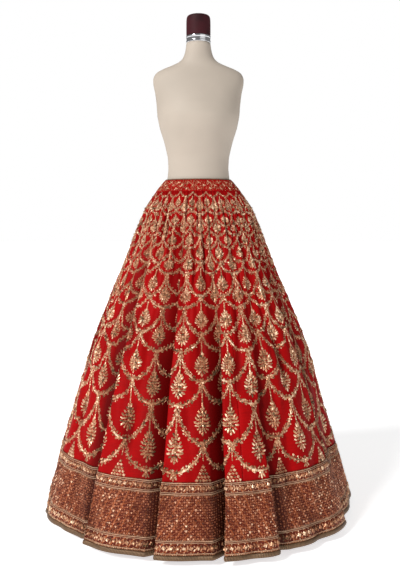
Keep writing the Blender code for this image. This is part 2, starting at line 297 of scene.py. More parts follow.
class Skirt:
    """The outer face of the skirt's panels, looked up by fraction round and height.

    Fractions run from the front centre, growing towards +X, and 1 is once round.
    """

    ROUND, UP = 2640, 271

    def __init__(self, depth_scale=1.0):
        self.lay_out_hem()
        fraction = np.arange(self.ROUND) / self.ROUND
        heights = np.linspace(HEM_Z, WAIST_Z, self.UP)
        self.heights = heights
        base, inside = self.folded(fraction[None, :], heights[:, None])
        along, up = self.slopes(base)
        normal = np.cross(along, up)
        normal /= np.linalg.norm(normal, axis=-1, keepdims=True)
        depth = self.flutes(fraction[None, :], heights[:, None]) * (1 - 0.95 * inside)
        # Mask of painted shade that darkens the cloth and the thread in troughs and folds
        self.painted_shade = self.hollows(fraction[None, :], heights[:, None], depth)[..., None]
        self.points = base + depth_scale * depth[..., None] * normal
        along, up = self.slopes(self.points)
        self.length = np.linalg.norm(along, axis=-1).mean(axis=1)
        run = np.linalg.norm(up, axis=-1).mean(axis=1)
        self.fall = 1.0 / run
        self.run = np.concatenate([[0.0], np.cumsum((run[1:] + run[:-1]) / 2 * np.diff(heights))])
        normal = np.cross(along, up)
        self.normals = normal / np.linalg.norm(normal, axis=-1, keepdims=True)
        self.alongs = along / np.linalg.norm(along, axis=-1, keepdims=True)

    def lay_out_hem(self):
        """Shares the hem's cloth out between folds and lobes."""
        radius = PROFILE[0, 1:].mean()
        run, reach = 0.0, None
        fractions, angles, middles, halves = [], [], [], []
        for angle, depth, lean, mouth, _, _ in FOLDS:
            start = math.radians(angle) - mouth / radius
            run += 0.0 if reach is None else (start - reach) * radius
            length = fold_length(depth, lean, mouth)
            middles.append(run + length / 2)
            halves.append(length / 2)
            reach = math.radians(angle) + mouth / radius
            fractions += [run, run + length]
            angles += [start, reach]
            run += length
        fractions.append(run + (angles[0] + WHOLE_TURN - reach) * radius)
        angles.append(angles[0] + WHOLE_TURN)
        front = np.interp(0.0, angles, fractions)
        total = fractions[-1]
        self.fold_middles = (np.array(middles) - front) / total
        self.fold_halves = np.array(halves) / total
        self.hem_fractions = (np.array(fractions) - front) / total
        self.hem_angles = np.array(angles)

    def hem_angle(self, fraction):
        turns = np.floor(fraction - self.hem_fractions[0])
        return np.interp(fraction - turns, self.hem_fractions, self.hem_angles) + WHOLE_TURN * turns

    @staticmethod
    def growth(height, top):
        """How far a fold has opened at a height: 0 at its top and 1 at the hem."""
        return np.clip((top - height) / (top - HEM_Z), 0.0, 1.0) ** FOLD_GROWTH

    def folded(self, fraction, height):
        """Points of the surface with its folds, and how far inside a fold each one is."""
        half_width, half_depth = softened(PROFILE, height, SMOOTHING)
        spread = self.growth(height, FLARE_START_Z)
        angle = (1 - spread) * WHOLE_TURN * fraction + spread * self.hem_angle(fraction)
        out = np.zeros(angle.shape)
        across = np.zeros(angle.shape)
        inside = np.zeros(angle.shape)
        for row, middle, half in zip(FOLDS, self.fold_middles, self.fold_halves):
            _, depth, lean, _, step, top = row
            x = ((fraction - middle + 0.5) % 1.0 - 0.5) / half
            opened = self.growth(height, top)
            inward = np.where(abs(x) < 1.0, np.cos(math.pi * x / 2) ** 2, 0.0)
            swell = x * np.exp(-(x**2) / 4) * math.copysign(step, lean)
            out += opened * (swell - depth * inward)
            across += opened * lean * inward
            inside = np.maximum(inside, np.exp(-((x / 1.4) ** 2)) * np.minimum(1.0, 2 * opened))
        normal = np.stack([np.sin(angle) / half_width, -np.cos(angle) / half_depth], -1)
        normal /= np.linalg.norm(normal, axis=-1, keepdims=True)
        x = half_width * np.sin(angle) + out * normal[..., 0] - across * normal[..., 1]
        y = -half_depth * np.cos(angle) + out * normal[..., 1] + across * normal[..., 0]
        return np.stack([x, y, np.broadcast_to(height, x.shape)], -1), inside

    @staticmethod
    def flutes(fraction, height):
        """How far the soft flutes stand out from the folded surface."""
        total = np.zeros(np.broadcast_shapes(fraction.shape, height.shape))
        for number, (count, start, drift, depths) in enumerate(FLUTES):
            depth = np.interp(height, FLUTE_HEIGHTS, depths)
            place = count * fraction + start + drift * count * (height - 0.5)
            bend = 0.18 * np.sin(WHOLE_TURN * ((3 + number) * fraction + start))
            ridge = 0.5 + 0.5 * np.cos(WHOLE_TURN * (place + bend))
            uneven = 0.72 + 0.28 * np.sin(WHOLE_TURN * ((5 + 2 * number) * fraction + 2.3 * start))
            total += depth * uneven * (1 - (1 - ridge) ** FLUTE_POWER - 0.5)
        return total

    def hollows(self, fraction, height, depth):
        """Mask of painted shade: how far into a trough the cloth lies, from 0 on a ridge to 1 inside a
        fold.
        """
        usual = np.sqrt((depth**2).mean(axis=1, keepdims=True)) + 0.0005
        painted_shade = FLUTE_PAINTED_SHADE * np.clip(-depth / (1.6 * usual), 0.0, 1.0)
        for row, middle, half in zip(FOLDS, self.fold_middles, self.fold_halves):
            lean, top = row[2], row[5]
            x = ((fraction - middle + 0.5) % 1.0 - 0.5) / half * math.copysign(1.0, lean)
            flank = np.exp(-((np.clip(-x - 0.8, 0.0, None) / 0.6) ** 2))
            edge = np.clip((1.0 - x) / 0.2, 0.0, 1.0)
            opened = np.minimum(1.0, 1.8 * self.growth(height, top))
            painted_shade = np.maximum(painted_shade, opened * np.minimum(flank, edge))
        return painted_shade

    def slopes(self, points):
        """Changes of the points per whole turn and per metre of height."""
        along = (np.roll(points, -1, 1) - np.roll(points, 1, 1)) * (self.ROUND / 2)
        return along, np.gradient(points, self.heights, axis=0)

    def look_up(self, tables, fraction, height):
        """Values of the tables at fractions round and heights."""
        across = (np.asarray(fraction, float) % 1.0) * self.ROUND
        rise = (np.clip(height, HEM_Z, WAIST_Z) - HEM_Z) / (WAIST_Z - HEM_Z) * (self.UP - 1)
        left, foot = np.floor(across).astype(int), np.minimum(np.floor(rise).astype(int), self.UP - 2)
        s, t = (across - left)[..., None], (rise - foot)[..., None]
        left %= self.ROUND
        right = (left + 1) % self.ROUND
        found = []
        for table in tables:
            low = (1 - s) * table[foot, left] + s * table[foot, right]
            high = (1 - s) * table[foot + 1, left] + s * table[foot + 1, right]
            found.append((1 - t) * low + t * high)
        return found

    def at(self, fraction, height, lift=0.0):
        """Points that stand out from the surface by lift."""
        point, normal = self.look_up((self.points, self.normals), fraction, height)
        normal /= np.linalg.norm(normal, axis=-1, keepdims=True)
        return point + np.asarray(lift)[..., None] * normal

    def frame(self, fraction, height):
        """Points with unit vectors along the cloth, up it and straight out of it."""
        tables = (self.points, self.alongs, self.normals)
        point, along, normal = self.look_up(tables, fraction, height)
        normal /= np.linalg.norm(normal, axis=-1, keepdims=True)
        up = np.cross(normal, along)
        up /= np.linalg.norm(up, axis=-1, keepdims=True)
        return point, np.cross(up, normal), up, normal

    def hollow_at(self, fraction, height):
        """Mask of painted shade: how far into a trough the cloth lies, at fractions round and heights.
        """
        return self.look_up((self.painted_shade,), fraction, height)[0][..., 0]

    def length_at(self, height):
        """Length of the cloth once round at a height."""
        return np.interp(height, self.heights, self.length)

    def run_at(self, height):
        """Length of the cloth from the hem up to a height."""
        return np.interp(height, self.heights, self.run)

    def moved(self, fraction, height, across, up):
        """The place that is so many metres across and up the cloth from another."""
        new_height = height + np.asarray(up) * np.interp(height, self.heights, self.fall)
        return fraction + np.asarray(across) / self.length_at(new_height), new_height


_surface = {}


def skirt():
    """The skirt's surface, worked out once for each depth of flutes."""
    scale = bpy.context.scene.lehenga_skirt.flute_scale
    if scale not in _surface:
        _surface[scale] = Skirt(scale)
    return _surface[scale]


# ---------------------------------------------------------------- finishes


class Channel:
    """A shader value that ordinary arithmetic works on."""

    def __init__(self, finish, socket):
        self.finish = finish
        self.socket = socket

    def maths(self, operation, *values):
        inputs = dict(enumerate(values))
        return self.finish.node("ShaderNodeMath", {"operation": operation}, inputs)

    def __add__(self, other):
        return self.maths("ADD", self, other)

    def __sub__(self, other):
        return self.maths("SUBTRACT", self, other)

    def __rsub__(self, other):
        return self.maths("SUBTRACT", other, self)

    def __mul__(self, other):
        return self.maths("MULTIPLY", self, other)

    def __abs__(self):
        return self.maths("ABSOLUTE", self)

    __radd__, __rmul__ = __add__, __mul__

    def sine(self):
        return self.maths("SINE", self)

    def least(self, other):
        return self.maths("MINIMUM", self, other)

    def between(self, low, high):
        """0 below low, 1 above high and a smooth step in between."""
        settings = {"interpolation_type": "SMOOTHSTEP"}
        return self.finish.node("ShaderNodeMapRange", settings, {0: self, 1: low, 2: high})


class Finish:
    """A material whose nodes are added by name."""

    def __init__(self, name):
        self.material = bpy.data.materials.new(name)
        self.material.use_nodes = True
        self.tree = self.material.node_tree
        self.surface = self.tree.nodes["Principled BSDF"]

    def node(self, kind, settings=None, inputs=None, out=0):
        """Adds a node, sets it up, then gives its sockets values or links."""
        made = self.tree.nodes.new(kind)
        for name, value in (settings or {}).items():
            setattr(made, name, value)
        for name, value in (inputs or {}).items():
            self.feed(made.inputs[name], value)
        return Channel(self, made.outputs[out])

    def feed(self, socket, value):
        if isinstance(value, Channel):
            self.tree.links.new(value.socket, socket)
        elif isinstance(value, (tuple, list)) and len(value) == 3 and socket.type == "RGBA":
            socket.default_value = (*value, 1.0)
        else:
            socket.default_value = value

    def mixed(self, share, first, second, blend="MIX"):
        """One colour mixed into another."""
        settings = {"data_type": "RGBA", "blend_type": blend}
        return self.node("ShaderNodeMix", settings, {0: share, 6: first, 7: second}, out=2)

    def cloth(self):
        """Metres across and up the cloth, from the piece's own map."""
        place = self.node("ShaderNodeUVMap", {"uv_map": "cloth"})
        split = self.node("ShaderNodeSeparateXYZ", None, {0: place})
        return place, split, Channel(self, split.socket.node.outputs[1])

    def solid(self):
        """Metres in the object's own space."""
        return self.node("ShaderNodeTexCoord", None, None, out="Object")

    def painted_shade(self):
        """Mask of painted shade: how far into a trough the cloth lies, from the piece's own attribute.
        """
        return self.node("ShaderNodeAttribute", {"attribute_name": "painted_shade"}, None, out="Fac")

    def stretched(self, place, factors):
        return self.node("ShaderNodeVectorMath", {"operation": "MULTIPLY"}, {0: place, 1: factors})

    def noise(self, place, scale, detail=2.0, roughness=0.5):
        values = {"Vector": place, "Scale": scale, "Detail": detail, "Roughness": roughness}
        return self.node("ShaderNodeTexNoise", None, values, out="Fac")

    def bump(self, height, distance, strength):
        values = {"Height": height, "Distance": distance, "Strength": strength}
        return self.node("ShaderNodeBump", None, values)

    def shade(self, **values):
        """Sets or links the surface shader's sockets."""
        for name, value in values.items():
            self.feed(self.surface.inputs[name.replace("_", " ")], value)
        return self.material


def made_once(build):
    """Keeps one material for each finish."""

    def found(*args):
        name = build.__name__
        return bpy.data.materials.get(name) or build(*args)

    return found


@made_once
def red_silk():
    colours = bpy.context.scene.lehenga_skirt
    finish = Finish("red_silk")
    place, _, up = finish.cloth()
    slubs = finish.noise(finish.stretched(place, (26.0, 310.0, 1.0)), 1.0, 3.0, 0.6)
    threads = finish.noise(finish.stretched(place, (900.0, 160.0, 1.0)), 1.0, 2.0)
    clouds = finish.noise(place, 9.0, 2.0)
    shade = (clouds * 0.6 + slubs * 0.4).between(0.30, 0.70)
    colour = finish.mixed(shade, tuple(colours.silk_deep), tuple(colours.silk_bright))
    # Painted shade: the silk is darkened inside its troughs and folds
    colour = finish.mixed(finish.painted_shade() * 0.88, colour, tuple(colours.silk_trough))
    backed = skirt().run_at(UPPER_BAND_TOP_Z - BACKING_DROP)
    colour = finish.mixed(up.between(backed - 0.001, backed), tuple(colours.border_deep), colour)
    height = slubs * 0.6 + threads * 0.25
    return finish.shade(
        Base_Color=colour,
        Roughness=0.50 + slubs * 0.18,
        Normal=finish.bump(height, 0.0006, 0.35),
        Specular_IOR_Level=0.05,
    )


def tinted(finish, tint, colours):
    """A colour that goes through several evenly spaced ones as the tint grows."""
    gaps = len(colours) - 1
    colour = colours[0]
    for number, following in enumerate(colours[1:]):
        share = tint.between(number / gaps, (number + 1) / gaps)
        colour = finish.mixed(share, colour, following)
    return colour


def gold_colours():
    gold = bpy.context.scene.lehenga_gold
    return [tuple(c) for c in (gold.shadow, gold.copper, gold.antique, gold.pale)]


def thread(name, colours):
    """Metallic thread whose colour follows the piece's own tint."""
    finish = Finish(name)
    place = finish.solid()
    tint = finish.node("ShaderNodeAttribute", {"attribute_name": "tint"}, None, out="Fac")
    speckle = finish.noise(place, 420.0, 2.0)
    wear = finish.noise(place, 24.0, 2.0)
    shade = tint * 0.8 + speckle * 0.22 + wear * 0.20 - 0.11
    strands = finish.noise(finish.stretched(place, (1400.0, 1400.0, 500.0)), 1.0, 1.0)
    return finish.shade(
        Base_Color=tinted(finish, shade, colours),
        Metallic=0.62,
        Roughness=0.34 + speckle * 0.2,
        Normal=finish.bump(strands * 0.6 + speckle * 0.4, 0.0005, 0.5),
        Specular_IOR_Level=0.6,
    )


@made_once
def gold_thread():
    return thread("gold_thread", gold_colours())


@made_once
def border_thread():
    gold = bpy.context.scene.lehenga_gold
    colours = (gold.rust_shadow, gold.rust, gold.rose, gold.pale)
    return thread("border_thread", [tuple(c) for c in colours])


@made_once
def border_ground():
    colours = bpy.context.scene.lehenga_skirt
    finish = Finish("border_ground")
    place, across, up = finish.cloth()
    turn = math.pi / (2 * BORDER_PITCH)
    first = abs((across * turn + up * turn).sine())
    second = abs((across * turn - up * turn).sine())
    lattice = 1 - first.least(second).between(0.10, 0.42)
    stitches = finish.noise(finish.stretched(place, (620.0, 620.0, 1.0)), 1.0, 2.0)
    clouds = finish.noise(place, 14.0, 3.0)
    filled = (lattice * 0.75 + stitches * 0.55 + clouds * 0.35 - 0.42).between(0.1, 0.9)
    colour = finish.mixed(filled, tuple(colours.border_deep), tuple(colours.border_gold))
    # Painted shade: the border is darkened inside its troughs and folds
    trough = tuple(0.35 * c for c in colours.border_deep)
    colour = finish.mixed(finish.painted_shade() * 0.8, colour, trough)
    return finish.shade(
        Base_Color=colour,
        Metallic=filled * 0.45,
        Roughness=0.62 - filled * 0.18,
        Normal=finish.bump(lattice * 0.5 + stitches * 0.5, 0.0009, 0.6),
        Specular_IOR_Level=0.15,
    )


@made_once
def gold_cord():
    finish = Finish("gold_cord")
    place, across, up = finish.cloth()
    twist = (across * (WHOLE_TURN / CORD_LAY) + up * (WHOLE_TURN / CORD_GIRTH)).sine() * 0.5 + 0.5
    clouds = finish.noise(place, 30.0, 3.0)
    shade = (twist * 0.55 + clouds * 0.5).between(0.2, 0.85)
    edging = bpy.context.scene.lehenga_gold
    colour = finish.mixed(shade, tuple(edging.cord_dark), tuple(edging.cord_pale))
    return finish.shade(
        Base_Color=colour,
        Metallic=0.45,
        Roughness=0.36 + clouds * 0.25,
        Normal=finish.bump(twist, 0.0008, 0.6),
    )


@made_once
def pale_cord():
    finish = Finish("pale_cord")
    place, across, _ = finish.cloth()
    twist = (across * (WHOLE_TURN / FINE_CORD_LAY)).sine() * 0.5 + 0.5
    clouds = finish.noise(place, 40.0, 3.0)
    shade = (twist * 0.4 + clouds * 0.6).between(0.2, 0.8)
    copper, pale = gold_colours()[1], gold_colours()[3]
    return finish.shade(
        Base_Color=finish.mixed(shade, copper, tuple(0.85 * c for c in pale)),
        Metallic=0.5,
        Roughness=0.35 + clouds * 0.2,
        Normal=finish.bump(twist, 0.0005, 0.5),
    )


@made_once
def form_cloth():
    colours = bpy.context.scene.lehenga_form
    finish = Finish("form_cloth")
    place = finish.solid()
    clouds = finish.noise(place, 5.0, 3.0)
    grain = finish.noise(place, 260.0, 2.0)
    pale = tuple(colours.form_colour)
    colour = finish.mixed(clouds.between(0.3, 0.7), tuple(0.90 * c for c in pale), pale)
    return finish.shade(
        Base_Color=colour,
        Roughness=0.58 + grain * 0.12,
        Normal=finish.bump(grain, 0.0006, 0.22),
        Specular_IOR_Level=0.35,
    )


@made_once
def wine_velvet():
    colours = bpy.context.scene.lehenga_form
    finish = Finish("wine_velvet")
    place = finish.solid()
    pile = finish.noise(place, 340.0, 3.0)
    clouds = finish.noise(place, 22.0, 2.0)
    deep = tuple(0.55 * c for c in colours.cap_colour)
    colour = finish.mixed(clouds.between(0.35, 0.65), deep, tuple(colours.cap_colour))
    return finish.shade(
        Base_Color=colour,
        Roughness=0.50 + pile * 0.3,
        Normal=finish.bump(pile, 0.0010, 0.4),
        Sheen_Weight=0.12,
        Sheen_Roughness=0.35,
        Sheen_Tint=(0.8, 0.15, 0.2, 1.0),
        Specular_IOR_Level=0.2,
    )


@made_once
def bright_chrome():
    finish = Finish("bright_chrome")
    place = finish.solid()
    brushed = finish.noise(finish.stretched(place, (12.0, 12.0, 900.0)), 1.0, 2.0)
    return finish.shade(
        Base_Color=finish.mixed(brushed, (0.66, 0.66, 0.68), (0.80, 0.80, 0.81)),
        Metallic=1.0,
        Roughness=0.10 + brushed * 0.12,
        Normal=finish.bump(brushed, 0.0001, 0.12),
    )


@made_once
def black_paint():
    finish = Finish("black_paint")
    place = finish.solid()
    peel = finish.noise(place, 180.0, 2.0)
    worn = finish.noise(place, 11.0, 3.0).between(0.55, 0.8)
    return finish.shade(
        Base_Color=finish.mixed(worn, (0.018, 0.018, 0.020), (0.045, 0.043, 0.042)),
        Metallic=0.3,
        Roughness=0.32 + peel * 0.16 + worn * 0.12,
        Normal=finish.bump(peel, 0.0003, 0.25),
        Coat_Weight=0.2,
    )


@made_once
def pale_floor():
    finish = Finish("pale_floor")
    place = finish.solid()
    clouds = finish.noise(place, 1.5, 2.0)
    return finish.shade(
        Base_Color=finish.mixed(clouds, (0.90, 0.90, 0.90), (0.94, 0.94, 0.94)),
        Roughness=0.75 + clouds * 0.1,
        Specular_IOR_Level=0.2,
        Emission_Color=WHITE,
        Emission_Strength=0.68,
    )


# ---------------------------------------------------------------- making pieces


def finished(name, mesh, material, node=None, smooth=True):
    """Makes a piece of a mesh, which rides on the one body and stands for a CAD node."""
    mesh.name = name
    mesh.materials.clear()
    mesh.materials.append(material)
    if smooth:
        mesh.shade_smooth()
    piece = bpy.data.objects.new(name, mesh)
    bpy.context.scene.collection.objects.link(piece)
    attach(piece, "root")
    if node is not None:
        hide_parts(node)
    return piece


def coordinates(mesh):
    co = np.empty(len(mesh.vertices) * 3, np.float32)
    mesh.vertices.foreach_get("co", co)
    return co.reshape(-1, 3).astype(float)


def flat_grid(columns, rows):
    """A mesh of a flat unit square in so many columns and rows."""
    bm = bmesh.new()
    bmesh.ops.create_grid(bm, x_segments=columns, y_segments=rows, size=0.5)
    mesh = bpy.data.meshes.new("grid")
    bm.to_mesh(mesh)
    bm.free()
    return mesh


def mapped(mesh, points, map_points):
    """Moves a mesh's points and gives it a cloth map in metres."""
    corners = np.empty(len(mesh.loops), np.int32)
    mesh.loops.foreach_get("vertex_index", corners)
    layer = mesh.uv_layers.new(name="cloth")
    layer.data.foreach_set("uv", map_points[corners].astype(np.float32).ravel())
    mesh.vertices.foreach_set("co", points.astype(np.float32).ravel())
    mesh.update()
    return mesh


def welded(mesh, distance=0.00002):
    """Closes the seams where a mesh meets itself."""
    bm = bmesh.new()
    bm.from_mesh(mesh)
    bmesh.ops.remove_doubles(bm, verts=bm.verts, dist=distance)
    bm.to_mesh(mesh)
    bm.free()
    return mesh


def with_wall(piece, thickness):
    """Gives a cloth piece its thickness, inwards from its outer face."""
    wall = piece.modifiers.new("wall", "SOLIDIFY")
    wall.thickness = thickness
    wall.offset = -1.0
    wall.use_even_offset = False


def laid_sheet(columns, rows, span, rise, lift=0.0, trim=0.0, dip=0.0, tuck=0.0):
    """A sheet laid on the skirt from one fraction to another and from foot to top."""
    cloth = skirt()
    mesh = flat_grid(columns, rows)
    flat = coordinates(mesh) + 0.5
    height = rise[0] + (rise[1] - rise[0]) * flat[:, 1]
    length = cloth.length_at(height)
    across = (span[0] + (span[1] - span[0]) * flat[:, 0]) + trim / length * (1 - 2 * flat[:, 0])
    middle = (span[0] + span[1]) / 2
    from_seam = np.minimum(flat[:, 0], 1 - flat[:, 0]) * (span[1] - span[0]) * length
    lifts = lift - dip * np.exp(-((from_seam / SEAM_WIDTH) ** 2))
    lifts = lifts - tuck * np.clip((UPPER_BAND_TOP_Z - height) / TUCK_RISE, 0.0, 1.0)
    points = cloth.at(across, height, lifts)
    # The mask of painted shade in the troughs, kept on the sheet for its finish
    layer = mesh.attributes.new("painted_shade", "FLOAT", "POINT")
    layer.data.foreach_set("value", cloth.hollow_at(across, height).astype(np.float32))
    spread = np.stack([(across - middle) * length, cloth.run_at(height)], -1)
    return mapped(mesh, points, spread)


def cord_round(columns, sides, height, lift, half_height, half_depth):
    """A closed cord laid round the skirt."""
    cloth = skirt()
    mesh = flat_grid(columns, sides)
    flat = coordinates(mesh) + 0.5
    turn = -WHOLE_TURN * flat[:, 1]
    rise = height + half_height * np.sin(turn)
    points = cloth.at(flat[:, 0], rise, lift + half_depth * np.cos(turn))
    girth = math.pi * (half_height + half_depth)
    spread = np.stack([flat[:, 0] * cloth.length_at(height), flat[:, 1] * girth], -1)
    return outwards(welded(mapped(mesh, points, spread)))


def outwards(mesh):
    """Turns the faces of a closed mesh outwards."""
    bm = bmesh.new()
    bm.from_mesh(mesh)
    bmesh.ops.recalc_face_normals(bm, faces=bm.faces)
    bm.to_mesh(mesh)
    bm.free()
    return mesh


def turned(outline, steps=72):
    """A closed shape turned about the upright axis from (radius, height) pairs."""
    bm = bmesh.new()
    verts = [bm.verts.new((radius, 0.0, height)) for radius, height in outline]
    edges = [bm.edges.new(pair) for pair in zip(verts, verts[1:])]
    bmesh.ops.spin(
        bm, geom=verts + edges, axis=(0, 0, 1), cent=(0, 0, 0),
        angle=WHOLE_TURN, steps=steps, use_merge=True,
    )
    bmesh.ops.remove_doubles(bm, verts=bm.verts, dist=0.00002)
    bmesh.ops.recalc_face_normals(bm, faces=bm.faces)
    mesh = bpy.data.meshes.new("turned")
    bm.to_mesh(mesh)
    bm.free()
    return mesh


def rounded(corners, radius, steps=5):
    """An outline with its inner corners rounded off."""
    points = [Vector(c) for c in corners]
    outline = [tuple(points[0])]
    for before, corner, after in zip(points, points[1:], points[2:]):
        ends = []
        for other in (before, after):
            away = other - corner
            ends.append(corner + away * min(0.5, radius / away.length))
        for number in range(steps + 1):
            t = number / steps
            outline.append(tuple((1 - t) ** 2 * ends[0] + 2 * t * (1 - t) * corner + t * t * ends[1]))
    outline.append(tuple(points[-1]))
    return outline


# ---------------------------------------------------------------- embroidery


def shape_of(bm):
    """(points, triangles) of a small raised shape."""
    bmesh.ops.triangulate(bm, faces=bm.faces)
    bm.verts.index_update()
    points = np.array([v.co for v in bm.verts])
    triangles = np.array([[v.index for v in face.verts] for face in bm.faces])
    bm.free()
    return points, triangles


def rosette(petals=4):
    """A flower of thread: petals round a raised ring with a sunken middle."""
    bm = bmesh.new()
    bmesh.ops.create_cone(bm, cap_ends=True, segments=2 * petals, radius1=1.0, radius2=0.46, depth=0.42)
    bmesh.ops.translate(bm, vec=(0, 0, 0.21), verts=bm.verts)
    under = [face for face in bm.faces if face.normal.z < -0.5]
    bmesh.ops.delete(bm, geom=under, context="FACES_ONLY")
    low = sorted((v for v in bm.verts if v.co.z < 0.1), key=lambda v: math.atan2(v.co.y, v.co.x))
    bmesh.ops.scale(bm, vec=(0.66, 0.66, 1.0), verts=low[::2])
    top = [face for face in bm.faces if face.normal.z > 0.9]
    middle = bmesh.ops.poke(bm, faces=top)["verts"]
    bmesh.ops.translate(bm, vec=(0, 0, -0.16), verts=middle)
    return shape_of(bm)


def blade(width, height, sides=6):
    """A pointed leaf of thread with a raised middle, one unit from there to its tip."""
    bm = bmesh.new()
    bmesh.ops.create_cone(bm, cap_ends=False, segments=sides, radius1=1.0, radius2=0.0, depth=height)
    bmesh.ops.remove_doubles(bm, verts=bm.verts, dist=0.001)
    bmesh.ops.scale(bm, vec=(width, 1.0, 1.0), verts=bm.verts)
    bmesh.ops.translate(bm, vec=(0, 0, height / 2), verts=bm.verts)
    return shape_of(bm)


def bead():
    """A small dome."""
    bm = bmesh.new()
    bmesh.ops.create_cone(bm, cap_ends=False, segments=6, radius1=1.0, radius2=0.0, depth=0.8)
    bmesh.ops.remove_doubles(bm, verts=bm.verts, dist=0.001)
    bmesh.ops.translate(bm, vec=(0, 0, 0.4), verts=bm.verts)
    return shape_of(bm)


class Stitching:
    """Copies of small raised shapes laid on the skirt, kept until they are joined in one mesh."""

    def __init__(self, lift=0.0001, seed=SEED):
        self.lift = lift
        self.chance = np.random.default_rng(seed)
        self.points, self.triangles, self.tints = [], [], []
        self.count = 0

    def add(self, shape, fraction, height, size, turn=0.0, tint=0.5, jitter=0.0):
        """Adds one copy of the shape for each place. Turn is in radians from straight up."""
        fraction, height, size, turn, tint = np.broadcast_arrays(
            *(np.atleast_1d(np.asarray(x, float)) for x in (fraction, height, size, turn, tint))
        )
        if jitter:
            size = size * (1 + jitter * self.chance.uniform(-1, 1, size.shape))
            turn = turn + jitter * self.chance.uniform(-1, 1, turn.shape)
        point, along, up, out = skirt().frame(fraction, height)
        cosine, sine = np.cos(turn)[:, None], np.sin(turn)[:, None]
        right, over = cosine * along + sine * up, cosine * up - sine * along
        axes = np.stack([right, over, out], 1) * size[:, None, None]
        corners, triangles = shape
        placed = np.einsum("vk,nkc->nvc", corners, axes) + (point + self.lift * out)[:, None]
        starts = self.count + np.arange(len(point)) * len(corners)
        self.points.append(placed.reshape(-1, 3))
        self.triangles.append((triangles[None] + starts[:, None, None]).reshape(-1, 3))
        # Painted shade: thread inside a trough or fold is darkened
        tint = tint * (1 - PAINTED_SHADE_TINT * skirt().hollow_at(fraction, height))
        uneven = self.chance.normal(0, UNEVEN_TINT, placed.shape[:2])
        self.tints.append((tint[:, None] + uneven).ravel())
        self.count += len(point) * len(corners)

    def shades(self, count, low, high, bright=0.0, dark=0.0):
        """Uneven tints, with a share of them pale and a share in shadow."""
        tints = self.chance.uniform(low, high, count)
        picked = self.chance.uniform(0, 1, count)
        tints[picked < bright] = 1.0
        tints[picked > 1 - dark] = 0.05
        return tints

    def mesh(self):
        mesh = bpy.data.meshes.new("stitching")
        mesh.from_pydata(np.concatenate(self.points), [], np.concatenate(self.triangles))
        layer = mesh.attributes.new("tint", "FLOAT", "POINT")
        layer.data.foreach_set("value", np.concatenate(self.tints).astype(np.float32))
        mesh.update()
        return mesh

    def piece(self, name, material=None):
        return finished(name, self.mesh(), material or gold_thread(), smooth=False)


def garland_rows():
    """For each row of garlands: the motif column it belongs to, its foot and its head."""
    rows = []
    for number, (first, second) in enumerate(zip(FIRST_BOTTOMS, SECOND_BOTTOMS)):
        above = SECOND_BOTTOMS[number - 1] if number else TOP_OF_GARLANDS
        rows.append((0.0, first, above))
        rows.append((0.5, second, first))
    return rows


def columns_round(offset):
    return (np.arange(REPEATS) + offset) / REPEATS + PATTERN_SHIFT


def thickened(height):
    """How much fuller the motifs are for their repeat as they get smaller towards the waist."""
    return np.interp(height, (0.30, 0.95), (1.0, 1.0 + FULLER_AT_WAIST))


def lay_garland(work, shapes, middle, foot, head):
    """One garland: a chain of flowers with leaves, fullest at the bottom of its curve."""
    cloth = skirt()
    flower, chip_shape, strand = shapes
    gold = bpy.context.scene.lehenga_gold
    side = np.linspace(-0.955, 0.955, 161)
    fractions = middle + side / (2 * REPEATS)
    heights = foot + (head - foot) * (1 - (1 - side**2) ** SWAG_POWER)
    points = cloth.at(fractions, heights)
    steps = np.linalg.norm(np.diff(points, axis=0), axis=1)
    repeat = cloth.length_at(foot) / REPEATS * thickened(foot)
    fullness = (1 - side**2) ** 0.75
    radius = gold.garland_share * repeat * (0.42 + 0.58 * fullness)
    paces = steps / (gold.spacing * (radius[1:] + radius[:-1]) / 2)
    beats = np.concatenate([[0.0], np.cumsum(paces)])
    count = max(6, int(beats[-1]))
    chosen = np.interp(np.linspace(0, beats[-1], count), beats, np.arange(side.size))
    runs = np.gradient(fractions) * cloth.length_at(heights)
    rises = np.gradient(heights) / np.interp(heights, cloth.heights, cloth.fall)
    at, z, size, across, rise = (
        np.interp(chosen, np.arange(side.size), values)
        for values in (fractions, heights, radius, runs, rises)
    )
    heading = np.arctan2(rise, across)
    tints = work.shades(count, 0.25, 0.75, 0.15, 0.1)
    work.add(strand, at, z, size * ROPE_LENGTH, heading - math.pi / 2, tints)
    tints = work.shades(count, 0.35, 0.85, 0.24, 0.10)
    work.add(flower, at, z, size * 0.62, heading, tints, jitter=0.25)
    for chip in range(GARLAND_CHIPS):
        way = 1 if chip % 2 else -1
        across = way * size * work.chance.uniform(0.30, 1.05, count)
        along = size * work.chance.uniform(-0.8, 0.8, count)
        right = along * np.cos(heading) - across * np.sin(heading)
        over = along * np.sin(heading) + across * np.cos(heading)
        chip_at, chip_z = cloth.moved(at, z, right, over)
        tints = work.shades(count, 0.10, 0.85, 0.24, 0.24)
        turns = work.chance.uniform(0, WHOLE_TURN, count)
        work.add(chip_shape, chip_at, chip_z, size * 0.41, turns, tints, jitter=0.3)


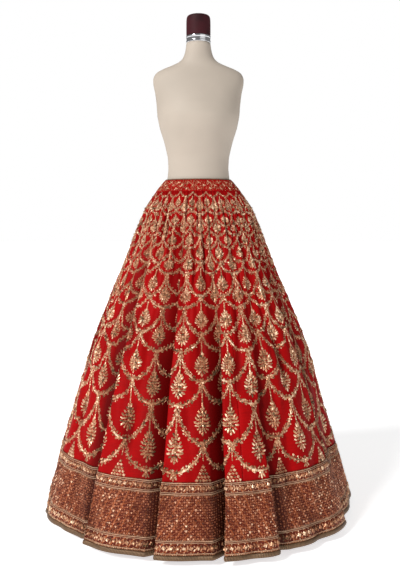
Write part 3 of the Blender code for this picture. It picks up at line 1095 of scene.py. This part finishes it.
def lay_bouquets(work, shapes, columns, top, foot):
    """A row of bouquets, each hung on a stem from the garland above."""
    cloth = skirt()
    flower, leaf, chip_shape = shapes
    gold = bpy.context.scene.lehenga_gold
    drop = top - foot
    half_height = gold.bouquet_height * drop / 2
    middle = top - gold.bouquet_drop * drop
    half_width = gold.bouquet_width * cloth.length_at(middle) / REPEATS / 2 * thickened(middle)

    def lay(shape, across, up, size, turn, low, high):
        spot = work.chance.normal(0, 0.02, (2, len(columns)))
        right, over = (across + spot[0]) * half_width, (up + spot[1]) * half_height
        at, z = cloth.moved(columns, middle, right, over)
        tints = work.shades(len(columns), low, high, 0.16, 0.14)
        work.add(shape, at, z, size * half_width, math.radians(turn), tints, jitter=0.22)

    for up, wide, lean in BOUQUET:
        for side in (-1, 1) if wide else (1,):
            lay(leaf, side * wide, up, 0.30, -side * lean, 0.45, 0.95)
        inner = int(max(wide - 0.16, 0.0) / CHIP_PITCH)
        for number in range(-inner, inner + 1):
            lay(chip_shape, number * CHIP_PITCH, up, 0.26, 40 * number, 0.05, 0.85)
    for across, up in BOUQUET_FLOWERS:
        lay(flower, across, up, 0.24, 20, 0.5, 0.9)
    start = top - 0.018 - 0.04 * drop
    end = middle + half_height * 1.12
    count = max(4, int((start - end) / (half_width * 0.30)))
    for number in range(count):
        z = start + (end - start) * number / (count - 1)
        tints = work.shades(len(columns), 0.45, 0.85, 0.2)
        work.add(leaf, columns, z, half_width * 0.24, 0.0, tints, jitter=0.1)


def lay_knots(work, shapes, columns, foot):
    """A flower at the bottom of each garland, with leaves fanned out under it."""
    cloth = skirt()
    flower, leaf, _ = shapes
    share = bpy.context.scene.lehenga_gold.garland_share
    unit = share * cloth.length_at(foot) / REPEATS * thickened(foot)
    z = foot - 0.35 * unit
    tints = work.shades(len(columns), 0.5, 0.9, 0.2)
    work.add(flower, columns, z, unit * 0.9, 0.4, tints, jitter=0.1)
    for turn in (180, 146, -146):
        angle, reach = math.radians(turn), 1.3 * unit
        at, low = cloth.moved(columns, z, -math.sin(angle) * reach, math.cos(angle) * reach)
        tints = work.shades(len(columns), 0.3, 0.75, 0.2)
        work.add(leaf, at, low, unit * 0.65, angle, tints, jitter=0.1)


# ---------------------------------------------------------------- border


def lay_trellis(work, shapes):
    """The border's main band: flowers in half drop with dots between them."""
    flower, _, dot = shapes
    low, high = LOWER_BAND_TOP_Z + 0.0065, MAIN_BAND_TOP_Z - 0.0065
    cloth = skirt()
    rise = cloth.run_at(high) - cloth.run_at(low)
    count = int(round(rise / BORDER_PITCH))
    for number in range(2 * count + 1):
        z = low + (high - low) * number / (2 * count)
        columns = (np.arange(BORDER_COLUMNS) + 0.5 * (number % 2)) / BORDER_COLUMNS
        tints = work.shades(BORDER_COLUMNS, 0.15, 0.80, 0.10, 0.22)
        work.add(flower, columns, z, 0.0038, 0.0, tints, jitter=0.25)
        between = columns + 0.5 / BORDER_COLUMNS
        work.add(dot, between, z, 0.0016, 0.0, work.shades(BORDER_COLUMNS, 0.1, 0.7), jitter=0.2)


def lay_flower_row(work, shapes, height, size, count, leaf_size):
    """A row of flowers with a leaf up and a leaf down between each two."""
    flower, leaf, dot = shapes
    cloth = skirt()
    columns = np.arange(count) / count
    work.add(flower, columns, height, size, 0.3, work.shades(count, 0.45, 0.8, 0.3), jitter=0.12)
    work.add(dot, columns, height + 0.0002, size * 0.34, 0.0, work.shades(count, 0.8, 1.0))
    between = columns + 0.5 / count
    for way in (-1, 1):
        at, z = cloth.moved(between, height, 0.0, way * leaf_size * 0.95)
        tints = work.shades(count, 0.3, 0.7, 0.15, 0.1)
        work.add(leaf, at, z, leaf_size, 0.5 * way, tints, jitter=0.25)
        at, z = cloth.moved(columns, height, 0.0, way * size * 1.45)
        work.add(dot, at, z, size * 0.26, 0.0, work.shades(count, 0.6, 1.0))


def lay_clusters(work, shapes):
    """Small stepped clusters on the border's top edge, under the first motif column."""
    flower, leaf, _ = shapes
    cloth = skirt()
    columns = columns_round(0.0)
    pitch_across, pitch_up = CLUSTER_PITCH
    for row, count in enumerate(CLUSTER_ROWS):
        for number in range(count):
            across = (number - (count - 1) / 2) * pitch_across
            at, z = cloth.moved(columns, UPPER_BAND_TOP_Z + 0.004, across, row * pitch_up)
            tints = work.shades(REPEATS, 0.4, 0.85, 0.2, 0.08)
            work.add(flower, at, z, 0.0056, 0.2, tints, jitter=0.15)
    for number in range(CLUSTER_LEAVES):
        foot = UPPER_BAND_TOP_Z + CLUSTER_LEAF_FOOT
        at, z = cloth.moved(columns, foot, 0.0, CLUSTER_LEAF_PITCH * number)
        work.add(leaf, at, z, 0.0048, 0.0, work.shades(REPEATS, 0.4, 0.9, 0.2), jitter=0.1)


# ---------------------------------------------------------------- settings


class LEHENGA_PG_skirt(bpy.types.PropertyGroup):
    """Sizes and colours of the cloth"""

    flute_scale: FloatProperty(
        name="Flute depth", description="How deep the soft flutes are, 1 as drawn",
        default=1.0, min=0.0, max=2.0,
    )
    silk_bright: FloatVectorProperty(
        name="Silk, lit", description="Colour of the silk's bright threads",
        default=(0.370, 0.0022, 0.0028), size=3, subtype="COLOR", min=0.0, max=1.0,
    )
    silk_deep: FloatVectorProperty(
        name="Silk, deep", description="Colour of the silk's dark threads",
        default=(0.255, 0.0014, 0.0018), size=3, subtype="COLOR", min=0.0, max=1.0,
    )
    # Painted shade: the colour the silk is darkened to inside its troughs and folds
    silk_trough: FloatVectorProperty(
        name="Silk, in a trough", description="Colour of the silk inside its folds",
        default=(0.100, 0.0004, 0.0004), size=3, subtype="COLOR", min=0.0, max=1.0,
    )
    border_deep: FloatVectorProperty(
        name="Border ground", description="Colour of the cloth under the border's embroidery",
        default=(0.105, 0.013, 0.005), size=3, subtype="COLOR", min=0.0, max=1.0,
    )
    border_gold: FloatVectorProperty(
        name="Border thread", description="Colour of the border's flat stitches",
        default=(0.360, 0.098, 0.036), size=3, subtype="COLOR", min=0.0, max=1.0,
    )


class LEHENGA_PG_gold(bpy.types.PropertyGroup):
    """Sizes and colours of the raised embroidery"""

    garland_share: FloatProperty(
        name="Garland flower", description="Radius of a garland's largest flower, in repeats",
        default=0.056, min=0.01, max=0.2,
    )
    spacing: FloatProperty(
        name="Flower spacing", description="Distance between flowers, in radii",
        default=1.60, min=1.0, max=4.0,
    )
    bouquet_width: FloatProperty(
        name="Bouquet width", description="Width of a bouquet, as a share of the repeat",
        default=0.285, min=0.1, max=0.9,
    )
    bouquet_height: FloatProperty(
        name="Bouquet height", description="Height of a bouquet, as a share of its row",
        default=0.47, min=0.1, max=0.9,
    )
    bouquet_drop: FloatProperty(
        name="Bouquet place", description="How far down its row a bouquet's middle is",
        default=0.62, min=0.1, max=0.9,
    )
    shadow: FloatVectorProperty(
        name="Thread in shadow", description="Darkest thread",
        default=(0.092, 0.056, 0.022), size=3, subtype="COLOR", min=0.0, max=1.0,
    )
    copper: FloatVectorProperty(
        name="Copper thread", description="Coppery thread",
        default=(0.365, 0.148, 0.070), size=3, subtype="COLOR", min=0.0, max=1.0,
    )
    antique: FloatVectorProperty(
        name="Antique thread", description="Antique gold thread",
        default=(0.54, 0.275, 0.145), size=3, subtype="COLOR", min=0.0, max=1.0,
    )
    pale: FloatVectorProperty(
        name="Pale thread", description="Brightest thread",
        default=(0.96, 0.71, 0.48), size=3, subtype="COLOR", min=0.0, max=1.0,
    )
    rust_shadow: FloatVectorProperty(
        name="Border thread in shadow", description="Darkest thread of the border",
        default=(0.060, 0.014, 0.007), size=3, subtype="COLOR", min=0.0, max=1.0,
    )
    rust: FloatVectorProperty(
        name="Rust thread", description="Common thread of the border",
        default=(0.33, 0.092, 0.036), size=3, subtype="COLOR", min=0.0, max=1.0,
    )
    rose: FloatVectorProperty(
        name="Rose gold thread", description="Lit thread of the border",
        default=(0.56, 0.23, 0.115), size=3, subtype="COLOR", min=0.0, max=1.0,
    )
    cord_dark: FloatVectorProperty(
        name="Edging, deep", description="Dark strands of the corded edgings",
        default=(0.040, 0.022, 0.010), size=3, subtype="COLOR", min=0.0, max=1.0,
    )
    cord_pale: FloatVectorProperty(
        name="Edging, lit", description="Bright strands of the corded edgings",
        default=(0.24, 0.135, 0.066), size=3, subtype="COLOR", min=0.0, max=1.0,
    )


class LEHENGA_PG_form(bpy.types.PropertyGroup):
    """Sizes and colours of the dress form"""

    steps: IntProperty(
        name="Steps round", description="Faces round a turned piece", default=96, min=16, max=256
    )
    form_colour: FloatVectorProperty(
        name="Form", description="Colour of the dress form",
        default=(0.48, 0.41, 0.34), size=3, subtype="COLOR", min=0.0, max=1.0,
    )
    cap_colour: FloatVectorProperty(
        name="Neck cap", description="Colour of the neck's cap",
        default=(0.040, 0.004, 0.007), size=3, subtype="COLOR", min=0.0, max=1.0,
    )


class LEHENGA_PG_stage(bpy.types.PropertyGroup):
    """Light and camera"""

    distance: FloatProperty(
        name="Camera distance", description="From the camera to the form's axis",
        default=2.60, unit="LENGTH",
    )
    height: FloatProperty(
        name="Camera height", description="Above the floor", default=0.964, unit="LENGTH"
    )
    aside: FloatProperty(
        name="Camera aside", description="How far right of the front it stands",
        default=0.0055, unit="LENGTH",
    )
    tilt: FloatProperty(
        name="Camera tilt", description="How far it looks up from level",
        default=math.radians(0.52), subtype="ANGLE",
    )
    shift: FloatProperty(
        name="Camera shift", description="How far the lens is shifted up, as a share of the height",
        default=-0.1362862, min=-1.0, max=1.0,
    )
    lens: FloatProperty(
        name="Lens", description="Focal length in millimetres", default=46.1, min=10, max=200
    )
    world: FloatProperty(
        name="Surround", description="Strength of the light from all round", default=0.21, min=0
    )
    key: FloatProperty(name="Key light", description="Strength of the main light", default=2.9, min=0)
    fill: FloatProperty(
        name="Fill light", description="Strength of the weaker light", default=0.35, min=0
    )


# ---------------------------------------------------------------- pieces


class LEHENGA_OT_kalis(bpy.types.Operator):
    """Cut the tapered silk panels and hang them in their folds"""

    bl_idname = "lehenga.kalis"
    bl_label = "Kalis"

    def execute(self, context):
        first = 0.5 / KALI_COUNT + SEAM_SHIFT
        for number in range(KALI_COUNT):
            span = (first + number / KALI_COUNT, first + (number + 1) / KALI_COUNT)
            rise = (HEM_Z, BAND_FOOT_Z - GAP)
            mesh = laid_sheet(*PANEL_GRID, span, rise, trim=GAP / 2, dip=SEAM_DIP, tuck=TUCK)
            node = f"kali_{number + 1:02d}"
            piece = finished(f"{node}_cloth", mesh, red_silk(), node)
            with_wall(piece, PANEL_WALL)
        return {"FINISHED"}


class LEHENGA_OT_waist(bpy.types.Operator):
    """Make up the waistband with its sprigs, chips of thread and corded edge"""

    bl_idname = "lehenga.waist"
    bl_label = "Waistband"

    def execute(self, context):
        mesh = welded(laid_sheet(ROUND_WAIST, 10, (0.0, 1.0), (BAND_FOOT_Z, WAIST_Z), WAISTBAND_LIFT))
        band = finished("waistband_cloth", mesh, red_silk(), "waistband")
        with_wall(band, WAISTBAND_WALL)
        mesh = self.edge_cord(WAISTBAND_WALL / 2)
        finished("waist_cord", mesh, gold_cord(), "waist_piping")
        work = Stitching(lift=WAISTBAND_LIFT + 0.0001, seed=SEED + 1)
        self.sprigs(work, rosette(), blade(0.42, 0.36))
        work.piece("waistband_sprigs")
        return {"FINISHED"}

    @staticmethod
    def edge_cord(inset):
        """The cord along the waistband's top edge."""
        mesh = flat_grid(ROUND_WAIST, 8)
        flat = coordinates(mesh) + 0.5
        turn, round_cord = WHOLE_TURN * flat[:, 0], WHOLE_TURN * flat[:, 1]
        reach = WAIST_PIPING_RADIUS * np.cos(round_cord) - inset
        half_width, half_depth = PROFILE[-1, 1] + reach, PROFILE[-1, 2] + reach
        height = WAIST_Z + GAP + WAIST_PIPING_RADIUS * (1 + np.sin(round_cord))
        points = np.stack([half_width * np.sin(turn), -half_depth * np.cos(turn), height], -1)
        girth = WHOLE_TURN * WAIST_PIPING_RADIUS
        spread = np.stack([flat[:, 0] * WAIST_LENGTH, flat[:, 1] * girth], -1)
        return outwards(welded(mapped(mesh, points, spread)))

    @staticmethod
    def sprigs(work, flower, leaf):
        """Three rows of small flowers with leaves, over a ground of loose chips of thread."""
        cloth = skirt()
        for row, height in enumerate(SPRIG_ROWS):
            columns = (np.arange(REPEATS) + 0.5 * row) / REPEATS
            tints = work.shades(REPEATS, 0.6, 0.9, 0.4)
            work.add(flower, columns, height, 0.0038, 0.2, tints, jitter=0.2)
            for turn in (30, 150, -90):
                angle = math.radians(turn)
                across, up = -SPRIG_REACH * math.sin(angle), SPRIG_REACH * math.cos(angle)
                at, z = cloth.moved(columns, height, across, up)
                work.add(leaf, at, z, 0.0034, angle, work.shades(REPEATS, 0.4, 0.8, 0.2), jitter=0.2)
        columns = work.chance.uniform(0, 1, WAIST_CHIPS)
        heights = work.chance.uniform(BAND_FOOT_Z + 0.003, WAIST_Z - 0.003, WAIST_CHIPS)
        turns = work.chance.uniform(0, WHOLE_TURN, WAIST_CHIPS)
        tints = work.shades(WAIST_CHIPS, 0.10, 0.65, 0.08, 0.15)
        work.add(leaf, columns, heights, 0.0019, turns, tints, jitter=0.3)


class LEHENGA_OT_border(bpy.types.Operator):
    """Lay the border's three bands, their cords and the hem piping"""

    bl_idname = "lehenga.border"
    bl_label = "Border"

    def execute(self, context):
        for node, foot, top, rows, cut in BANDS:
            mesh = welded(laid_sheet(ROUND_HEM, rows, (0.0, 1.0), (foot, top), BORDER_LIFT))
            piece = finished(f"{node}_cloth", mesh, border_ground(), node)
            with_wall(piece, BAND_WALL)
        middle = (HEM_Z + PIPING_TOP_Z) / 2
        mesh = cord_round(ROUND_HEM, 8, middle, 0.0010, (PIPING_TOP_Z - HEM_Z) / 2, 0.0024)
        finished("hem_piping_cord", mesh, gold_cord(), "hem_piping")
        cords = bmesh.new()
        for height, radius in CORDS:
            lift = BORDER_LIFT + 0.2 * radius
            cords.from_mesh(cord_round(ROUND_HEM, 4, height, lift, radius, radius))
        mesh = bpy.data.meshes.new("cords")
        cords.to_mesh(mesh)
        cords.free()
        finished("border_cords", mesh, pale_cord())
        return {"FINISHED"}


class LEHENGA_OT_garlands(bpy.types.Operator):
    """Embroider the garlands, row by row from the waist"""

    bl_idname = "lehenga.garlands"
    bl_label = "Garlands"

    def execute(self, context):
        shapes = rosette(), blade(0.80, 0.55, 4), blade(0.34, 0.30)
        rows = garland_rows()
        for number, (name, first, past) in enumerate(GARLAND_PIECES):
            work = Stitching(seed=SEED + 10 + number)
            for offset, foot, head in rows[first:past]:
                for middle in columns_round(offset):
                    lay_garland(work, shapes, middle, foot, head)
            work.piece(name)
        return {"FINISHED"}


class LEHENGA_OT_bouquets(bpy.types.Operator):
    """Embroider the bouquets on their stems and the knots between garlands"""

    bl_idname = "lehenga.bouquets"
    bl_label = "Bouquets"

    def execute(self, context):
        shapes = rosette(), blade(0.48, 0.36), blade(0.60, 0.40, 4)
        work = Stitching(lift=0.0002, seed=SEED + 20)
        for offset, feet in ((0.0, FIRST_BOTTOMS), (0.5, SECOND_BOTTOMS)):
            columns = columns_round(offset)
            heads = (TOP_OF_GARLANDS, *feet) if offset else feet
            for top, foot in zip(heads, heads[1:]):
                lay_bouquets(work, shapes, columns, top, foot)
            for foot in feet:
                lay_knots(work, shapes, columns, foot)
        work.piece("bouquets")
        return {"FINISHED"}


class LEHENGA_OT_border_work(bpy.types.Operator):
    """Embroider the border's trellis, its flower rows and the clusters on its edge"""

    bl_idname = "lehenga.border_work"
    bl_label = "Border embroidery"

    def execute(self, context):
        shapes = rosette(), blade(0.44, 0.36), bead()
        work = Stitching(lift=BORDER_LIFT, seed=SEED + 30)
        lay_trellis(work, (rosette(3), *shapes[1:]))
        work.piece("border_trellis", border_thread())
        work = Stitching(lift=BORDER_LIFT, seed=SEED + 31)
        for row in FLOWER_ROWS:
            lay_flower_row(work, shapes, *row)
        for height, size, count in BEAD_ROWS:
            columns = np.arange(count) / count
            work.add(shapes[2], columns, height, size, 0.0, work.shades(count, 0.6, 1.0))
        work.piece("border_rows")
        work = Stitching(lift=0.0002, seed=SEED + 32)
        lay_clusters(work, shapes)
        work.piece("border_clusters")
        return {"FINISHED"}


class LEHENGA_OT_form(bpy.types.Operator):
    """Shape the dress form with its neck ring and cap"""

    bl_idname = "lehenga.form"
    bl_label = "Dress form"

    def execute(self, context):
        steps = context.scene.lehenga_form.steps
        finished("dress_form", self.torso(steps), form_cloth(), "form_torso")
        low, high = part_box("form_neck_ring")
        r, foot, top = high.x, low.z, high.z
        groove, lip, edge = r - 0.0012, 0.006, 0.001
        ring = [
            (0, foot), (r - edge, foot), (r, foot + edge), (r, foot + lip),
            (groove, foot + lip + 0.0015), (groove, top - lip - 0.0015),
            (r, top - lip), (r, top - edge), (r - edge, top), (0, top),
        ]
        mesh = turned(rounded(ring, 0.0008), steps)
        finished("neck_ring", mesh, bright_chrome(), "form_neck_ring")
        low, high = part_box("form_neck_cap")
        r, foot, top = high.x, low.z, high.z
        cap = [
            (0, foot), (r - 0.0012, foot), (r, foot + 0.0015), (r, top - 0.022),
            (0.965 * r, top - 0.009), (0.84 * r, top - 0.0025), (0.5 * r, top), (0, top),
        ]
        mesh = turned(rounded(cap, 0.012, 7), steps)
        finished("neck_cap", mesh, wine_velvet(), "form_neck_cap")
        return {"FINISHED"}

    @staticmethod
    def torso(steps):
        """A sphere drawn out through the form's sections."""
        table = np.array(TORSO)
        steps_along = np.hypot(np.diff(table[:, 0]), np.diff(table[:, 1]))
        run = np.concatenate([[0.0], np.cumsum(steps_along)])
        bm = bmesh.new()
        rows = TORSO_ROWS
        bmesh.ops.create_uvsphere(bm, u_segments=steps, v_segments=rows, radius=1.0)
        mesh = bpy.data.meshes.new("torso")
        bm.to_mesh(mesh)
        bm.free()
        co = coordinates(mesh)
        polar = np.arccos(np.clip(-co[:, 2], -1, 1)) / math.pi * rows
        share = np.clip((polar - 1) / (rows - 2), 0, 1)
        joined = np.column_stack([run, table])
        sections = softened(joined, share * run[-1], TORSO_SMOOTHING)
        height, half_width, half_depth, offset = sections
        spread = np.clip(np.minimum(polar, rows - polar), 0, 1)
        reach = np.maximum(np.hypot(co[:, 0], co[:, 1]), 1e-9)
        points = np.stack(
            [
                half_width * spread * co[:, 0] / reach,
                half_depth * spread * co[:, 1] / reach + offset,
                np.clip(height, table[0, 0], table[-1, 0]),
            ],
            -1,
        )
        mesh.vertices.foreach_set("co", points.astype(np.float32).ravel())
        mesh.update()
        return outwards(mesh)


class LEHENGA_OT_stand(bpy.types.Operator):
    """Turn the pole and the round base"""

    bl_idname = "lehenga.stand"
    bl_label = "Stand"

    def execute(self, context):
        steps = context.scene.lehenga_form.steps
        for name, node, edge in (("pole", "stand_pole", 0.0015), ("base", "stand_base", 0.005)):
            low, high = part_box(node)
            outline = [(0, low.z), (high.x, low.z), (high.x, high.z), (0, high.z)]
            finished(name, turned(rounded(outline, edge), steps), black_paint(), node)
        return {"FINISHED"}


class LEHENGA_OT_stage(bpy.types.Operator):
    """Set the floor, the soft light and the camera"""

    bl_idname = "lehenga.stage"
    bl_label = "Stage"

    def execute(self, context):
        stage = context.scene.lehenga_stage
        bm = bmesh.new()
        bmesh.ops.create_grid(bm, x_segments=4, y_segments=4, size=30.0)
        mesh = bpy.data.meshes.new("floor")
        bm.to_mesh(mesh)
        bm.free()
        mesh.materials.append(pale_floor())
        floor = bpy.data.objects.new("floor", mesh)
        context.scene.collection.objects.link(floor)

        world = bpy.data.worlds.new("surround")
        world.use_nodes = True
        tree = world.node_tree
        light = tree.nodes["Background"]
        light.inputs["Color"].default_value = WHITE
        light.inputs["Strength"].default_value = stage.world
        wall = tree.nodes.new("ShaderNodeBackground")
        wall.inputs["Color"].default_value = WHITE
        seen = tree.nodes.new("ShaderNodeLightPath")
        mix = tree.nodes.new("ShaderNodeMixShader")
        tree.links.new(seen.outputs["Is Camera Ray"], mix.inputs[0])
        tree.links.new(light.outputs[0], mix.inputs[1])
        tree.links.new(wall.outputs[0], mix.inputs[2])
        tree.links.new(mix.outputs[0], tree.nodes["World Output"].inputs["Surface"])
        context.scene.world = world

        self.sun("key", stage.key, 16.0, (-1.00, -0.95, 1.00))
        self.sun("fill", stage.fill, 50.0, (0.9, -1.0, 0.5))

        lens = bpy.data.cameras.new("camera")
        lens.lens = stage.lens
        lens.sensor_width = 36.0
        lens.shift_y = stage.shift
        camera = bpy.data.objects.new("camera", lens)
        camera.location = (stage.aside, -stage.distance, stage.height)
        camera.rotation_euler = (math.pi / 2 + stage.tilt, 0.0, 0.0)
        context.scene.collection.objects.link(camera)
        context.scene.camera = camera
        context.scene.view_settings.view_transform = "Standard"
        return {"FINISHED"}

    @staticmethod
    def sun(name, strength, spread, direction):
        """A distant light as wide as so many degrees, standing in a direction."""
        data = bpy.data.lights.new(name, "SUN")
        data.energy = strength
        data.angle = math.radians(spread)
        lamp = bpy.data.objects.new(name, data)
        lamp.rotation_euler = Vector(direction).to_track_quat("Z", "Y").to_euler()
        bpy.context.scene.collection.objects.link(lamp)


OPERATORS = (
    LEHENGA_OT_form,
    LEHENGA_OT_stand,
    LEHENGA_OT_kalis,
    LEHENGA_OT_waist,
    LEHENGA_OT_border,
    LEHENGA_OT_garlands,
    LEHENGA_OT_bouquets,
    LEHENGA_OT_border_work,
    LEHENGA_OT_stage,
)
GROUPS = {
    "lehenga_skirt": LEHENGA_PG_skirt,
    "lehenga_gold": LEHENGA_PG_gold,
    "lehenga_form": LEHENGA_PG_form,
    "lehenga_stage": LEHENGA_PG_stage,
}


class LEHENGA_PT_panel(bpy.types.Panel):
    """Lists the pieces and their settings"""

    bl_idname = "LEHENGA_PT_panel"
    bl_label = "Lehenga skirt"
    bl_space_type = "VIEW_3D"
    bl_region_type = "UI"
    bl_category = "Lehenga"

    def draw(self, context):
        for group in GROUPS:
            settings = getattr(context.scene, group)
            box = self.layout.box()
            for name in settings.__annotations__:
                box.prop(settings, name)
        for operator in OPERATORS:
            self.layout.operator(operator.bl_idname)


def register():
    for group in GROUPS.values():
        bpy.utils.register_class(group)
    for name, group in GROUPS.items():
        setattr(bpy.types.Scene, name, PointerProperty(type=group))
    for operator in OPERATORS:
        bpy.utils.register_class(operator)
    bpy.utils.register_class(LEHENGA_PT_panel)


def unregister():
    bpy.utils.unregister_class(LEHENGA_PT_panel)
    for operator in reversed(OPERATORS):
        bpy.utils.unregister_class(operator)
    for name, group in GROUPS.items():
        delattr(bpy.types.Scene, name)
        bpy.utils.unregister_class(group)


def main():
    """Builds every piece in order."""
    register()
    for operator in OPERATORS:
        group, name = operator.bl_idname.split(".")
        getattr(getattr(bpy.ops, group), name)()


if __name__ == "__main__":
    main()
